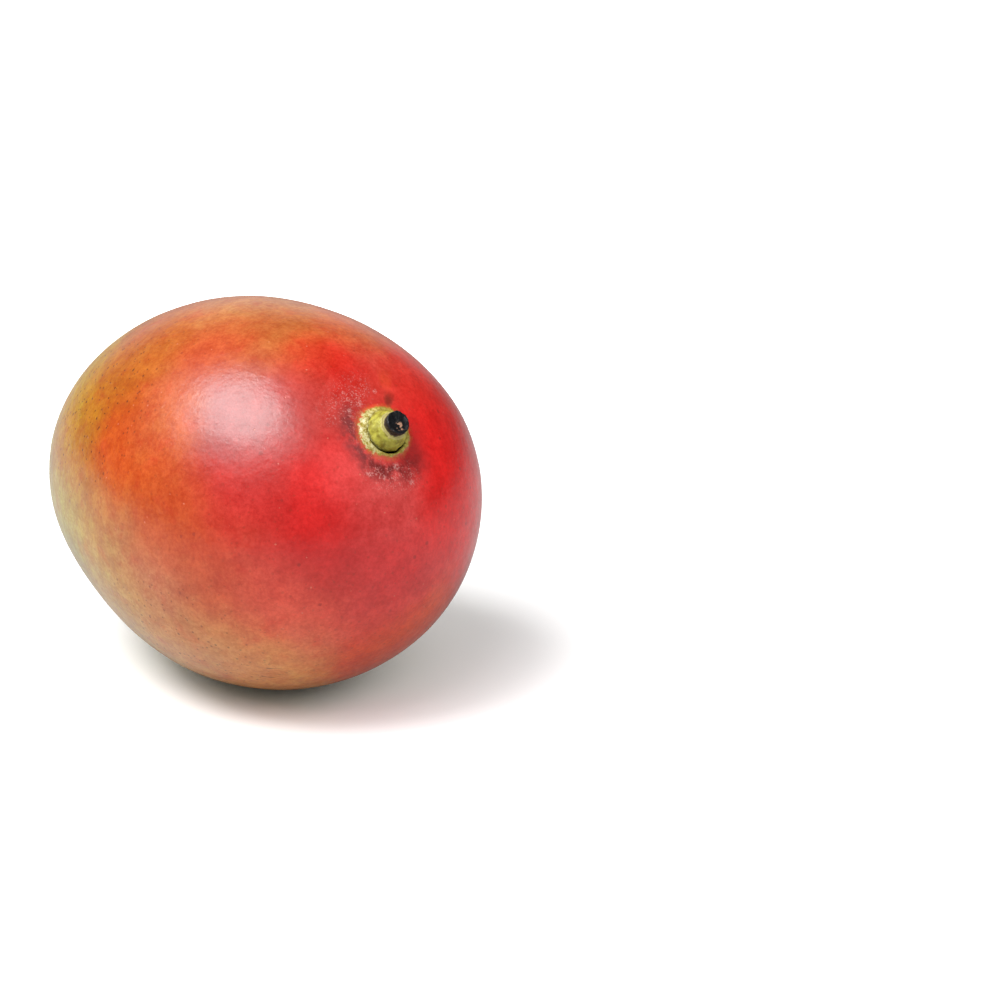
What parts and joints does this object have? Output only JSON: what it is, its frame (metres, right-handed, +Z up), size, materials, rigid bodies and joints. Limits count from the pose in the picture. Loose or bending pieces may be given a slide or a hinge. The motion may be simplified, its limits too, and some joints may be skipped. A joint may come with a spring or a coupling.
{
  "type": "mango",
  "caption": "Whole ripe red and orange mango lying on its side on a small flat spot, with the short green stub of its stem.",
  "frame": {"origin": "middle of the small flat spot that the fruit rests on", "axes": "+Z up, +X towards the stem end along the fruit's length, Y through its thinner side"},
  "size_m": [0.1196, 0.088, 0.0927],
  "materials": {
    "mango_skin": "smooth waxy skin, red turning to orange and pale yellow green at the pointed end, fine specks",
    "mango_stem": "matt yellow green stub with a dry black cut end"
  },
  "bodies": {
    "root": {"fruit": "mango_skin", "stem": "mango_stem"}
  },
  "joints": []
}
